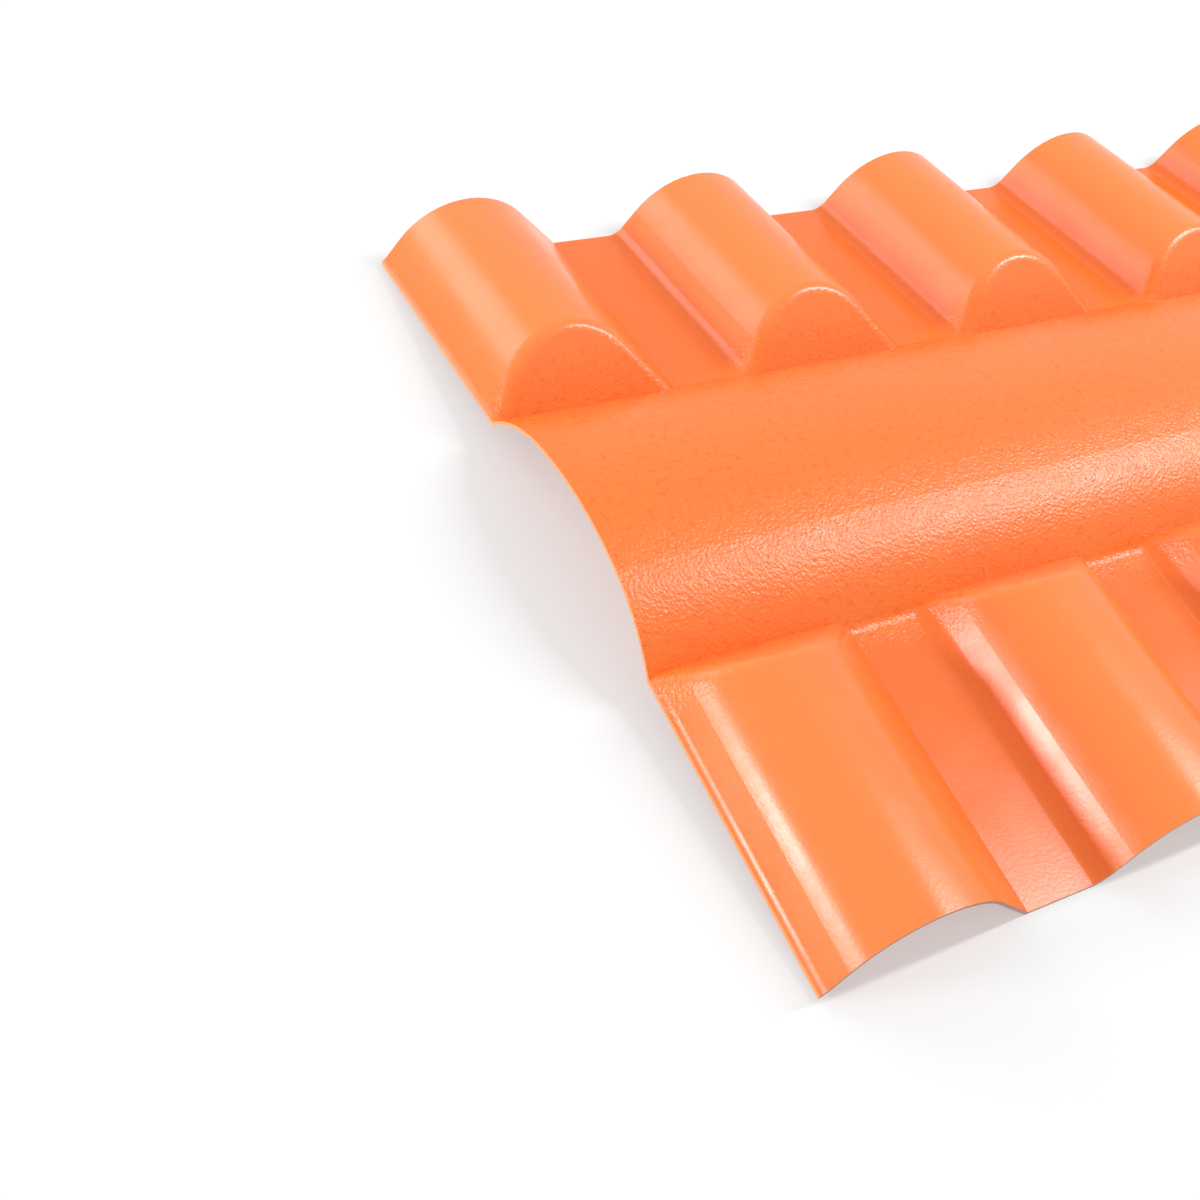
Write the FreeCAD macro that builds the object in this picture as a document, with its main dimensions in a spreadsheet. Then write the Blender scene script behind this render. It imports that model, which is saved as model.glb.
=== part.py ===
import FreeCAD, Part
import math
import os
import Sketcher

# Ridge cap for a corrugated plastic roof: one sheet of even wall, a low barrel along the ridge
# and, on both sides of it, a gently falling wing with rolls that end in a leaning half-moon face.
# X runs along the ridge, Y across it, Z up. The origin is on the floor, under the middle of the cap.
# The sheet is an outer form less the same form one wall further in, trimmed to length and width.

SIZES = [
    ("cap_length", 880.0, "overall, along the ridge"),
    ("cap_width", 500.0, "overall, across the ridge"),
    ("wall", 2.0, "sheet thickness"),
    ("pitch", 160.0, "from one roll to the next"),
    ("roll_count", 6.0, "rolls on each wing, the last one cut off by the end of the sheet"),
    ("first_crest", 52.0, "from the end of the sheet to the first roll's crest"),
    ("roll_height", 40.0, "crest above the pan"),
    ("crown_radius", 50.0, "round top of a roll"),
    ("soft_flank", 58.0, "slope of the flank with the soft foot, degrees"),
    ("sharp_flank", 43.0, "slope of the flank with the sharp foot, degrees"),
    ("soft_foot", 12.0, "radius of the hollow at the soft foot"),
    ("foot_sink", 0.1, "how far that hollow dips under the pan"),
    ("end_lean", 36.0, "end face of a roll, back from square to the pan, degrees"),
    ("end_spacing", 170.0, "between the end faces of the two wings, at the pans"),
    ("rim_radius", 9.0, "rounding between end face and roll"),
    ("wing_slope", 5.0, "fall of the wings, degrees"),
    ("barrel_rise", 27.0, "crown above the line where the two wings' pans would meet"),
    ("barrel_crown", 180.0, "radius of the barrel's top"),
    ("barrel_haunch", 96.5, "radius of the barrel's sides"),
    ("haunch_spacing", 40.4, "between the centres of the two side arcs"),
    ("barrel_foot", 9.0, "radius of the hollow where barrel and wing meet"),
    ("overrun", 40.0, "how far the forms run past the trimmed edges"),
]

SLOPE = "(Sizes.wing_slope * 1 deg)"
LEAN = "(Sizes.end_lean * 1 deg)"
RIDGE_LEVEL = "(Sizes.wall / cos" + SLOPE + " + Sizes.cap_width / 2 * tan" + SLOPE + ")"


class Sheet:
    """The spreadsheet with the driving sizes, and their numbers for starting guesses."""

    def __init__(self, doc):
        self.obj = doc.addObject("Spreadsheet::Sheet", "Sizes")
        self.value = {}
        for row, (alias, value, note) in enumerate(SIZES, start=1):
            self.obj.set("A%d" % row, alias)
            self.obj.set("B%d" % row, repr(value))
            self.obj.set("C%d" % row, note)
            self.obj.setAlias("B%d" % row, alias)
            self.value[alias] = value
        doc.recompute()


def vec(x, y, z=0.0):
    return FreeCAD.Vector(x, y, z)


def new_sketch(body, name, role):
    plane = next(f for f in body.Origin.OriginFeatures if f.Role == role)
    sketch = body.newObject("Sketcher::SketchObject", body.Name + name)
    sketch.AttachmentSupport = [(plane, "")]
    sketch.MapMode = "FlatFace"
    return sketch


def bind(sketch, kind, args, start, expression):
    """Adds one size to a sketch and ties it to the spreadsheet."""
    index = sketch.addConstraint(Sketcher.Constraint(kind, *args, start))
    sketch.setExpression("Constraints[%d]" % index, expression)


def relate(sketch, relations):
    for relation in relations:
        sketch.addConstraint(Sketcher.Constraint(*relation))


def arc(centre, radius, start_deg, end_deg):
    circle = Part.Circle(vec(*centre), vec(0, 0, 1), radius)
    return Part.ArcOfCircle(circle, math.radians(start_deg), math.radians(end_deg))


def line(a, b):
    return Part.LineSegment(vec(*a), vec(*b))


def polar(centre, radius, degrees):
    angle = math.radians(degrees)
    return (centre[0] + radius * math.cos(angle), centre[1] + radius * math.sin(angle))


def roll_profile(body, size, inset, less, more):
    """Section of one roll, crest at x = 0 and pan at y = 0, drawn one inset under the outer skin."""
    v = size.value
    radius = v["crown_radius"] - inset
    hollow = v["soft_foot"] + inset
    deep = v["overrun"]
    soft = math.radians(v["soft_flank"])
    sharp = math.radians(v["sharp_flank"])
    centre = (0.0, v["roll_height"] - v["crown_radius"])
    left = polar(centre, radius, 90 + v["soft_flank"])
    right = polar(centre, radius, 90 - v["sharp_flank"])
    hollow_y = v["soft_foot"] - v["foot_sink"]
    foot_y = hollow_y - hollow * math.cos(soft)
    foot = (left[0] - (left[1] - foot_y) / math.tan(soft), foot_y)
    hollow_x = foot[0] - hollow * math.sin(soft)
    low = (hollow_x, hollow_y - hollow)
    corner = (hollow_x, -deep)
    end = (right[0] + (right[1] + deep) / math.tan(sharp), -deep)

    sketch = new_sketch(body, "Profile", "XZ_Plane")
    sketch.addGeometry([
        arc(centre, radius, 90 - v["sharp_flank"], 90 + v["soft_flank"]),
        line(foot, left),
        arc((hollow_x, hollow_y), hollow, 270, 270 + v["soft_flank"]),
        line(low, corner),
        line(corner, end),
        line(end, right),
    ])
    relate(sketch, [
        ("Tangent", 0, 2, 1, 2),
        ("Tangent", 1, 1, 2, 2),
        ("Coincident", 2, 1, 3, 1),
        ("Coincident", 3, 2, 4, 1),
        ("Coincident", 4, 2, 5, 1),
        ("Tangent", 5, 2, 0, 1),
        ("Vertical", 3),
        ("Vertical", 2, 3, 2, 1),
        ("Horizontal", 4),
        ("PointOnObject", 0, 3, -2),
    ])
    bind(sketch, "DistanceY", (-1, 1, 0, 3), centre[1], "Sizes.roll_height - Sizes.crown_radius")
    bind(sketch, "Radius", (0,), radius, "Sizes.crown_radius" + less)
    bind(sketch, "Radius", (2,), hollow, "Sizes.soft_foot" + more)
    bind(sketch, "DistanceY", (-1, 1, 2, 3), hollow_y, "Sizes.soft_foot - Sizes.foot_sink")
    bind(sketch, "DistanceY", (3, 2, -1, 1), deep, "Sizes.overrun")
    bind(sketch, "Angle", (1,), soft, "Sizes.soft_flank * 1 deg")
    bind(sketch, "Angle", (5,), math.pi - sharp, "(180 - Sizes.sharp_flank) * 1 deg")
    return sketch


def end_cut(body, size, inset, inset_text):
    """Region on the barrel's side of the leaning plane that closes a roll."""
    v = size.value
    lean = math.radians(v["end_lean"])
    slope = math.radians(v["wing_slope"])
    foot = v["end_spacing"] / 2 / math.cos(slope) + inset / math.cos(lean)
    low = -2 * v["overrun"]
    high = v["roll_height"] + v["overrun"]
    a = (foot + low * math.tan(lean), low)
    b = (foot + high * math.tan(lean), high)
    c = (low, high)
    d = (low, low)
    sketch = new_sketch(body, "EndCut", "YZ_Plane")
    sketch.addGeometry([line(a, b), line(b, c), line(c, d), line(d, a)])
    relate(sketch, [
        ("Coincident", 0, 2, 1, 1),
        ("Coincident", 1, 2, 2, 1),
        ("Coincident", 2, 2, 3, 1),
        ("Coincident", 3, 2, 0, 1),
        ("Horizontal", 1),
        ("Vertical", 2),
        ("Horizontal", 3),
    ])
    foot_text = "(Sizes.end_spacing / 2 / cos" + SLOPE + inset_text + ")"
    bind(sketch, "DistanceX", (-1, 1, 0, 2), b[0],
         foot_text + " + (Sizes.roll_height + Sizes.overrun) * tan" + LEAN)
    bind(sketch, "DistanceY", (-1, 1, 0, 2), high, "Sizes.roll_height + Sizes.overrun")
    bind(sketch, "DistanceX", (2, 2, -1, 1), -low, "2 * Sizes.overrun")
    bind(sketch, "DistanceY", (2, 2, -1, 1), -low, "2 * Sizes.overrun")
    bind(sketch, "Angle", (0,), math.pi / 2 - lean, "(90 - Sizes.end_lean) * 1 deg")
    return sketch


def rim_edges(shape, size, inset):
    """Edges between a roll's end face and its upper skin."""
    v = size.value
    lean = math.radians(v["end_lean"])
    normal = vec(0, -math.cos(lean), math.sin(lean))
    names = []
    for face in shape.Faces:
        if not isinstance(face.Surface, Part.Plane):
            continue
        if face.normalAt(0, 0).getAngle(normal) > 0.01:
            continue
        for edge in face.Edges:
            if max(p.Point.z for p in edge.Vertexes) < 1.0 - inset:
                continue
            number = next(i for i, e in enumerate(shape.Edges, start=1) if e.isSame(edge))
            names.append("Edge%d" % number)
    return names


def make_roll(doc, size, name, inset, less, more):
    """One roll as a solid bar with a rounded end, lying along +Y from the ridge outwards."""
    v = size.value
    body = doc.addObject("PartDesign::Body", name)
    doc.recompute()
    profile = roll_profile(body, size, inset, less, more)
    pad = body.newObject("PartDesign::Pad", name + "Bar")
    pad.Profile = profile
    pad.Reversed = True
    pad.setExpression("Length", "Sizes.cap_width / 2 / cos" + SLOPE + " + Sizes.overrun")
    doc.recompute()
    if pad.Shape.BoundBox.YMin < -1.0:
        pad.Reversed = False
        doc.recompute()
    inset_text = " + Sizes.wall / cos" + LEAN if inset else ""
    cut = body.newObject("PartDesign::Pocket", name + "End")
    cut.Profile = end_cut(body, size, inset, inset_text)
    cut.Type = "ThroughAll"
    cut.Midplane = True
    doc.recompute()
    if not cut.Shape.Volume < pad.Shape.Volume - 1.0:
        raise RuntimeError("the end of " + name + " was not cut")
    rim = body.newObject("PartDesign::Fillet", name + "Rim")
    rim.Base = (cut, rim_edges(cut.Shape, size, inset))
    rim.setExpression("Radius", "Sizes.rim_radius" + less)
    doc.recompute()
    body.setExpression("Placement.Rotation.Axis.x", "1")
    body.setExpression("Placement.Rotation.Axis.y", "0")
    body.setExpression("Placement.Rotation.Axis.z", "0")
    body.setExpression("Placement.Rotation.Angle", "-Sizes.wing_slope")
    body.setExpression("Placement.Base.z", RIDGE_LEVEL)
    body.setExpression("Placement.Base.x", "Sizes.first_crest - Sizes.cap_length / 2")
    doc.recompute()
    return body


def barrel_centres(v):
    """Centres of the barrel's top arc, side arc and foot arc, the same for both skins."""
    slope = math.radians(v["wing_slope"])
    level = v["wall"] / math.cos(slope) + v["cap_width"] / 2 * math.tan(slope)
    top = (0.0, level + v["barrel_rise"] - v["barrel_crown"])
    side_y = v["haunch_spacing"] / 2
    side = (side_y, top[1] + math.sqrt((v["barrel_crown"] - v["barrel_haunch"]) ** 2 - side_y ** 2))
    reach = v["barrel_haunch"] + v["barrel_foot"]
    height = level + v["barrel_foot"] / math.cos(slope)
    near = side_y
    far = side_y + reach
    for _ in range(60):
        foot_y = (near + far) / 2
        foot = (foot_y, height - foot_y * math.tan(slope))
        if math.hypot(foot[0] - side[0], foot[1] - side[1]) > reach:
            far = foot_y
        else:
            near = foot_y
    return top, side, foot, level


def make_base(doc, size, name, inset, less, more):
    """Barrel and pans as one solid bar along the ridge."""
    v = size.value
    top, side, foot, level = barrel_centres(v)
    crown = v["barrel_crown"] - inset
    haunch = v["barrel_haunch"] - inset
    hollow = v["barrel_foot"] + inset
    slope = math.radians(v["wing_slope"])
    lift = math.degrees(math.atan2(side[1] - top[1], side[0] - top[0]))
    fall = math.degrees(math.atan2(foot[1] - side[1], foot[0] - side[0]))
    edge_y = v["cap_width"] / 2 + v["overrun"]
    edge = (edge_y, level - edge_y * math.tan(slope) - inset / math.cos(slope))
    deep = 2 * v["overrun"]

    def flip(p):
        return (-p[0], p[1])

    shoulder = polar(side, haunch, lift)
    toe = polar(side, haunch, fall)
    heel = polar(foot, hollow, 270 - v["wing_slope"])
    body = doc.addObject("PartDesign::Body", name)
    doc.recompute()
    sketch = new_sketch(body, "Section", "YZ_Plane")
    sketch.addGeometry([
        arc(top, crown, lift, 180 - lift),
        arc(side, haunch, fall, lift),
        arc(foot, hollow, 180 + fall, 270 - v["wing_slope"]),
        line(heel, edge),
        line(edge, (edge_y, -deep)),
        line((edge_y, -deep), (-edge_y, -deep)),
        line((-edge_y, -deep), flip(edge)),
        line(flip(edge), flip(heel)),
        arc(flip(foot), hollow, 270 + v["wing_slope"], 360 - fall),
        arc(flip(side), haunch, 180 - lift, 180 - fall),
    ])
    relate(sketch, [
        ("Tangent", 0, 1, 1, 2),
        ("Tangent", 1, 1, 2, 1),
        ("Tangent", 2, 2, 3, 1),
        ("Coincident", 3, 2, 4, 1),
        ("Coincident", 4, 2, 5, 1),
        ("Coincident", 5, 2, 6, 1),
        ("Coincident", 6, 2, 7, 1),
        ("Tangent", 7, 2, 8, 1),
        ("Tangent", 8, 2, 9, 2),
        ("Tangent", 9, 1, 0, 2),
        ("Vertical", 4),
        ("Horizontal", 5),
        ("Vertical", 6),
        ("PointOnObject", 0, 3, -2),
        ("Symmetric", 1, 3, 9, 3, -2),
        ("Symmetric", 2, 3, 8, 3, -2),
        ("Symmetric", 3, 2, 6, 2, -2),
    ])
    bind(sketch, "DistanceY", (0, 3, -1, 1), -top[1],
         "Sizes.barrel_crown - Sizes.barrel_rise - " + RIDGE_LEVEL)
    bind(sketch, "Radius", (0,), crown, "Sizes.barrel_crown" + less)
    bind(sketch, "Radius", (1,), haunch, "Sizes.barrel_haunch" + less)
    bind(sketch, "Radius", (2,), hollow, "Sizes.barrel_foot" + more)
    bind(sketch, "DistanceX", (9, 3, 1, 3), 2 * side[0], "Sizes.haunch_spacing")
    bind(sketch, "Angle", (3,), -slope, "-Sizes.wing_slope * 1 deg")
    bind(sketch, "DistanceX", (-1, 1, 3, 2), edge_y, "Sizes.cap_width / 2 + Sizes.overrun")
    inset_text = "" if not inset else " - Sizes.wall / cos" + SLOPE
    bind(sketch, "DistanceY", (4, 2, -1, 1), deep, "2 * Sizes.overrun")
    bind(sketch, "DistanceY", (4, 2, 4, 1), edge[1] + deep,
         RIDGE_LEVEL + " - (Sizes.cap_width / 2 + Sizes.overrun) * tan" + SLOPE
         + inset_text + " + 2 * Sizes.overrun")
    pad = body.newObject("PartDesign::Pad", name + "Bar")
    pad.Profile = sketch
    pad.Midplane = True
    pad.setExpression("Length", "Sizes.cap_length + 2 * Sizes.overrun")
    doc.recompute()
    return body


def make_form(doc, size, skin, inset, less, more):
    """Barrel, pans and all the rolls of both wings as one solid."""
    base = make_base(doc, size, skin + "Base", inset, less, more)
    roll = make_roll(doc, size, skin + "Roll", inset, less, more)
    rolls = [roll]
    for index in range(1, int(size.value["roll_count"])):
        copy = doc.addObject("App::Link", "%sRoll%d" % (skin, index + 1))
        copy.LinkedObject = roll
        copy.LinkTransform = True
        copy.setExpression("Placement.Base.x", "%d * Sizes.pitch" % index)
        rolls.append(copy)
    row = doc.addObject("Part::Compound", skin + "Row")
    row.Links = rolls
    other = doc.addObject("Part::Mirroring", skin + "OtherRow")
    other.Source = row
    other.Normal = vec(0, 1, 0)
    form = doc.addObject("Part::MultiFuse", skin + "Form")
    form.Shapes = [base, row, other]
    doc.recompute()
    return form


def make_cap(doc, size):
    wall = size.value["wall"]
    outer = make_form(doc, size, "Outer", 0.0, "", "")
    inner = make_form(doc, size, "Inner", wall, " - Sizes.wall", " + Sizes.wall")
    shell = doc.addObject("Part::Cut", "Shell")
    shell.Base = outer
    shell.Tool = inner
    blank = doc.addObject("Part::Box", "Blank")
    blank.setExpression("Length", "Sizes.cap_length")
    blank.setExpression("Width", "Sizes.cap_width")
    blank.setExpression("Height", "Sizes.cap_width")
    blank.setExpression("Placement.Base.x", "-Sizes.cap_length / 2")
    blank.setExpression("Placement.Base.y", "-Sizes.cap_width / 2")
    blank.setExpression("Placement.Base.z", "-Sizes.overrun / 2")
    cap = doc.addObject("Part::Common", "Cap")
    cap.Label = "ridge_cap"
    cap.Base = shell
    cap.Tool = blank
    cap.Refine = True
    doc.recompute()
    return cap


def check(doc, piece):
    for obj in doc.Objects:
        if "Invalid" in obj.State or "Error" in obj.State:
            raise RuntimeError("%s failed: %s" % (obj.Name, obj.State))
    shape = piece.Shape
    if shape.isNull() or not shape.isValid():
        raise RuntimeError("%s has no valid shape" % piece.Label)
    if len(shape.Solids) != 1:
        raise RuntimeError("%s has %d solids" % (piece.Label, len(shape.Solids)))


def main():
    doc = FreeCAD.newDocument("ridge_cap")
    size = Sheet(doc)
    cap = make_cap(doc, size)
    check(doc, cap)
    os.makedirs("parts", exist_ok=True)
    cap.Shape.exportStep("parts/%s.step" % cap.Label)
    print(cap.Label, round(cap.Shape.Volume), cap.Shape.BoundBox)


if __name__ == "__main__":
    main()
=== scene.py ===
import math

import bpy
from mathutils import Matrix, Vector

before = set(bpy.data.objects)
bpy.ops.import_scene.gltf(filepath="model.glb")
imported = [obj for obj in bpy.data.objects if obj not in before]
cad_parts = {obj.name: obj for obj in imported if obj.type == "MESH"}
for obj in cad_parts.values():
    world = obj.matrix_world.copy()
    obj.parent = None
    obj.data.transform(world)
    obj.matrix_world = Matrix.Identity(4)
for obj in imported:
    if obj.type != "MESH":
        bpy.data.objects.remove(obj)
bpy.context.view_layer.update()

# Colours are linear values; lengths are metres.
SHEET_ORANGE = (0.93, 0.196, 0.027, 1.0)
SHEET_DEEP = (0.90, 0.176, 0.020, 1.0)
# Painted light on the roll crests and painted shade in the valleys between them.
CREST_LIT_ORANGE = (0.97, 0.230, 0.055, 1.0)
VALLEY_SHADE_ORANGE = (0.88, 0.165, 0.016, 1.0)
SPECK_DARK = (0.80, 0.115, 0.010, 1.0)
END_CUT_PALE = (0.97, 0.33, 0.12, 1.0)
# Painted shade on the long cut edges at the front and back of the sheet.
LONG_CUT_SHADE_BROWN = (0.42, 0.11, 0.035, 1.0)

WHITE = (1.0, 1.0, 1.0, 1.0)
BARREL_HALF = 0.093
GRAIN_FADE = 0.030
TONE_FADE = 0.020
ROLL_GRAIN = 0.10
ROLL_PITCH = 0.160
CREST_AT = -0.388
SQUARE_ON = 0.985
GRAIN_SIZE = 0.0019
GRAIN_DEPTH = 0.0005
SKY_LEVEL = 0.57
FLOOR_COLOUR = (0.85, 0.87, 0.87, 1.0)
FLOOR_GLOW = 0.42
FLOOR_SIZE = 14.0

# Place, point aimed at, width and height, watts.
LAMPS = {
    "roll_strip": ((-1.92, 0.21, 0.53), (-0.43, -0.18, 0.02), (0.42, 0.14), 12),
    "barrel_strip": ((1.05, -0.21, 1.60), (-0.23, -0.055, 0.04), (0.06, 1.20), 27),
    "left_soft": ((-1.55, 1.80, 1.00), (-0.30, 0.15, 0.03), (1.5, 1.0), 17),
}

# Angles in radians; the focal length counts in widths of the square frame.
CAMERA = {
    "place": (-0.7328, -0.4032, 0.5226),
    "pan": 0.8937,
    "tilt": 0.8237,
    "roll": -0.2880,
    "focal": 1433.6 / 1200.0,
}
SENSOR_MM = 36.0


def new_material(name):
    material = bpy.data.materials.new(name)
    material.use_nodes = True
    material.node_tree.nodes.clear()
    return material, material.node_tree


def add(tree, kind, place, **settings):
    node = tree.nodes.new(kind)
    node.location = place
    for key, value in settings.items():
        setattr(node, key, value)
    return node


def colour_mix(tree, place, factor, first, second):
    """Mixes two colours. Either may be a fixed colour or an output of another node."""
    mix = add(tree, "ShaderNodeMix", place, data_type="RGBA")
    tree.links.new(factor, mix.inputs[0])
    for number, colour in ((6, first), (7, second)):
        if isinstance(colour, tuple):
            mix.inputs[number].default_value = colour
        else:
            tree.links.new(colour, mix.inputs[number])
    return mix.outputs[2]


def maths(tree, place, operation, first, second=None):
    node = add(tree, "ShaderNodeMath", place, operation=operation)
    for number, value in ((0, first), (1, second)):
        if value is None:
            continue
        if isinstance(value, (int, float)):
            node.inputs[number].default_value = value
        else:
            tree.links.new(value, node.inputs[number])
    return node.outputs[0]


def ramp_between(tree, place, value, low, high, at_low, at_high):
    node = add(tree, "ShaderNodeMapRange", place, interpolation_type="SMOOTHSTEP")
    tree.links.new(value, node.inputs["Value"])
    node.inputs["From Min"].default_value = low
    node.inputs["From Max"].default_value = high
    node.inputs["To Min"].default_value = at_low
    node.inputs["To Max"].default_value = at_high
    return node.outputs["Result"]


def noise(tree, place, where, scale, detail):
    node = add(tree, "ShaderNodeTexNoise", place)
    node.inputs["Scale"].default_value = scale
    node.inputs["Detail"].default_value = detail
    tree.links.new(where, node.inputs["Vector"])
    return node.outputs["Fac"]


def seen_directly(tree, place):
    """One for rays from the camera, gloss and clear materials, zero for the light they send on."""
    x, y = place
    rays = add(tree, "ShaderNodeLightPath", (x, y)).outputs
    seen = maths(tree, (x + 200, y), "MAXIMUM", rays["Is Camera Ray"], rays["Is Glossy Ray"])
    return maths(tree, (x + 400, y), "MAXIMUM", seen, rays["Is Transmission Ray"])


def sheet_material():
    """Satin orange plastic: leather grain on the barrel and end faces, smoother along the rolls; painted
    light on the roll crests, painted shade in the valleys and on the long cut edges.
    """
    material, tree = new_material("satin_orange_sheet")
    link = tree.links.new
    out = add(tree, "ShaderNodeOutputMaterial", (1300, 0))
    shader = add(tree, "ShaderNodeBsdfPrincipled", (1000, 0))
    shader.inputs["IOR"].default_value = 1.47
    shader.inputs["Specular IOR Level"].default_value = 0.44
    coords = add(tree, "ShaderNodeTexCoord", (-1300, 0))
    where = coords.outputs["Object"]
    split = add(tree, "ShaderNodeSeparateXYZ", (-1100, 200))
    link(where, split.inputs[0])
    facing = add(tree, "ShaderNodeSeparateXYZ", (-1100, -500))
    link(coords.outputs["Normal"], facing.inputs[0])

    across = maths(tree, (-900, 200), "ABSOLUTE", split.outputs["Y"])
    grained = ramp_between(tree, (-700, 200), across, BARREL_HALF, BARREL_HALF + GRAIN_FADE, 1.0, ROLL_GRAIN)

    drift = noise(tree, (-700, 600), where, 6.0, 3.0)
    mottle = noise(tree, (-700, 450), where, 260.0, 2.0)
    body = colour_mix(tree, (-400, 600), drift, SHEET_DEEP, SHEET_ORANGE)
    # Painted light and shade along the wings: a cosine of the roll pitch makes the crests lighter and the
    # valleys darker.
    along = maths(tree, (-900, 900), "SUBTRACT", split.outputs["X"], CREST_AT)
    turn = maths(tree, (-750, 900), "MULTIPLY", along, 2 * math.pi / ROLL_PITCH)
    wave = maths(tree, (-600, 900), "COSINE", turn)
    height = ramp_between(tree, (-450, 900), wave, -0.8, 0.5, 0.0, 1.0)
    rolls = colour_mix(tree, (-250, 900), height, VALLEY_SHADE_ORANGE, CREST_LIT_ORANGE)
    on_wing = ramp_between(tree, (-450, 1100), across, BARREL_HALF, BARREL_HALF + TONE_FADE, 0.0, 0.85)
    body = colour_mix(tree, (-100, 700), on_wing, body, rolls)
    speck = ramp_between(tree, (-400, 400), mottle, 0.52, 0.72, 0.0, 0.5)
    speck_here = maths(tree, (-200, 400), "MULTIPLY", speck, grained)
    body = colour_mix(tree, (0, 500), speck_here, body, SPECK_DARK)

    end_on = maths(tree, (-900, -450), "ABSOLUTE", facing.outputs["X"])
    end_cut = maths(tree, (-700, -450), "GREATER_THAN", end_on, SQUARE_ON)
    side_on = maths(tree, (-900, -650), "ABSOLUTE", facing.outputs["Y"])
    long_cut = maths(tree, (-700, -650), "GREATER_THAN", side_on, SQUARE_ON)
    body = colour_mix(tree, (200, 400), end_cut, body, END_CUT_PALE)
    # Painted shade: the long cut edges facing front and back are coloured dark brown.
    body = colour_mix(tree, (400, 400), long_cut, body, LONG_CUT_SHADE_BROWN)
    link(body, shader.inputs["Base Color"])

    gloss_drift = noise(tree, (-700, -100), where, 38.0, 4.0)
    gloss = ramp_between(tree, (-400, -100), gloss_drift, 0.3, 0.7, 0.23, 0.30)
    link(gloss, shader.inputs["Roughness"])

    pebble = add(tree, "ShaderNodeTexVoronoi", (-700, -250), feature="SMOOTH_F1")
    pebble.inputs["Scale"].default_value = 1.0 / GRAIN_SIZE
    pebble.inputs["Smoothness"].default_value = 0.6
    link(where, pebble.inputs["Vector"])
    fine = noise(tree, (-700, -900), where, 900.0, 3.0)
    relief = maths(tree, (-400, -400), "ADD", pebble.outputs["Distance"], fine)
    relief = maths(tree, (-200, -400), "MULTIPLY", relief, grained)
    bump = add(tree, "ShaderNodeBump", (600, -250))
    bump.inputs["Strength"].default_value = 0.48
    bump.inputs["Distance"].default_value = GRAIN_DEPTH
    link(relief, bump.inputs["Height"])
    link(bump.outputs["Normal"], shader.inputs["Normal"])
    link(shader.outputs["BSDF"], out.inputs["Surface"])
    return material


def floor_material():
    """Pale floor that keeps a light grey shadow and reads as white to the eye and in gloss."""
    material, tree = new_material("pale_floor")
    link = tree.links.new
    out = add(tree, "ShaderNodeOutputMaterial", (600, 0))
    matt = add(tree, "ShaderNodeBsdfDiffuse", (-200, 0))
    matt.inputs["Color"].default_value = FLOOR_COLOUR
    glow = add(tree, "ShaderNodeEmission", (-200, -200))
    glow.inputs["Color"].default_value = WHITE
    seen = seen_directly(tree, (-900, 200))
    share = maths(tree, (-300, 200), "MULTIPLY", seen, FLOOR_GLOW)
    blend = add(tree, "ShaderNodeMixShader", (200, 0))
    link(share, blend.inputs[0])
    link(matt.outputs["BSDF"], blend.inputs[1])
    link(glow.outputs["Emission"], blend.inputs[2])
    link(blend.outputs["Shader"], out.inputs["Surface"])
    return material


def make_floor():
    bpy.ops.object.select_all(action="DESELECT")
    bpy.ops.mesh.primitive_plane_add(size=FLOOR_SIZE, location=(0, 0, 0))
    floor = bpy.context.object
    floor.name = "studio_floor"
    floor.data.materials.append(floor_material())


def area_lamp(name, place, aim, size, watts):
    data = bpy.data.lights.new(name, "AREA")
    data.shape = "RECTANGLE"
    data.size, data.size_y = size
    data.energy = watts
    lamp = bpy.data.objects.new(name, data)
    bpy.context.collection.objects.link(lamp)
    lamp.location = place
    lamp.rotation_euler = (Vector(aim) - Vector(place)).to_track_quat("-Z", "Y").to_euler()


def set_world():
    """Even pale sky: soft on the sheet, white behind it and in its gloss."""
    world = bpy.data.worlds.new("studio")
    bpy.context.scene.world = world
    world.use_nodes = True
    tree = world.node_tree
    tree.nodes.clear()
    out = add(tree, "ShaderNodeOutputWorld", (800, 0))
    sky = add(tree, "ShaderNodeBackground", (600, 0))
    sky.inputs["Color"].default_value = WHITE
    seen = seen_directly(tree, (-400, 0))
    level = maths(tree, (200, 0), "MULTIPLY", seen, 1.0 - SKY_LEVEL)
    level = maths(tree, (400, 0), "ADD", level, SKY_LEVEL)
    tree.links.new(level, sky.inputs["Strength"])
    tree.links.new(sky.outputs["Background"], out.inputs["Surface"])


def make_camera():
    pan, tilt, roll = CAMERA["pan"], CAMERA["tilt"], CAMERA["roll"]
    look = Vector((math.cos(tilt) * math.cos(pan), math.cos(tilt) * math.sin(pan), -math.sin(tilt)))
    right = look.cross(Vector((0, 0, 1))).normalized()
    down = look.cross(right)
    turned_right = math.cos(roll) * right + math.sin(roll) * down
    turned_down = -math.sin(roll) * right + math.cos(roll) * down
    turn = Matrix((turned_right, -turned_down, -look)).transposed()
    data = bpy.data.cameras.new("camera")
    data.sensor_width = SENSOR_MM
    data.lens = SENSOR_MM * CAMERA["focal"]
    data.clip_start = 0.01
    camera = bpy.data.objects.new("camera", data)
    bpy.context.collection.objects.link(camera)
    camera.matrix_world = Matrix.Translation(Vector(CAMERA["place"])) @ turn.to_4x4()
    bpy.context.scene.camera = camera


def dress_sheet():
    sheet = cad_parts["ridge_cap"]
    material = sheet_material()
    sheet.data.materials.clear()
    sheet.data.materials.append(material)


bpy.context.scene.view_settings.view_transform = "Standard"
dress_sheet()
make_floor()
set_world()
for name, (place, aim, size, watts) in LAMPS.items():
    area_lamp(name, place, aim, size, watts)
make_camera()
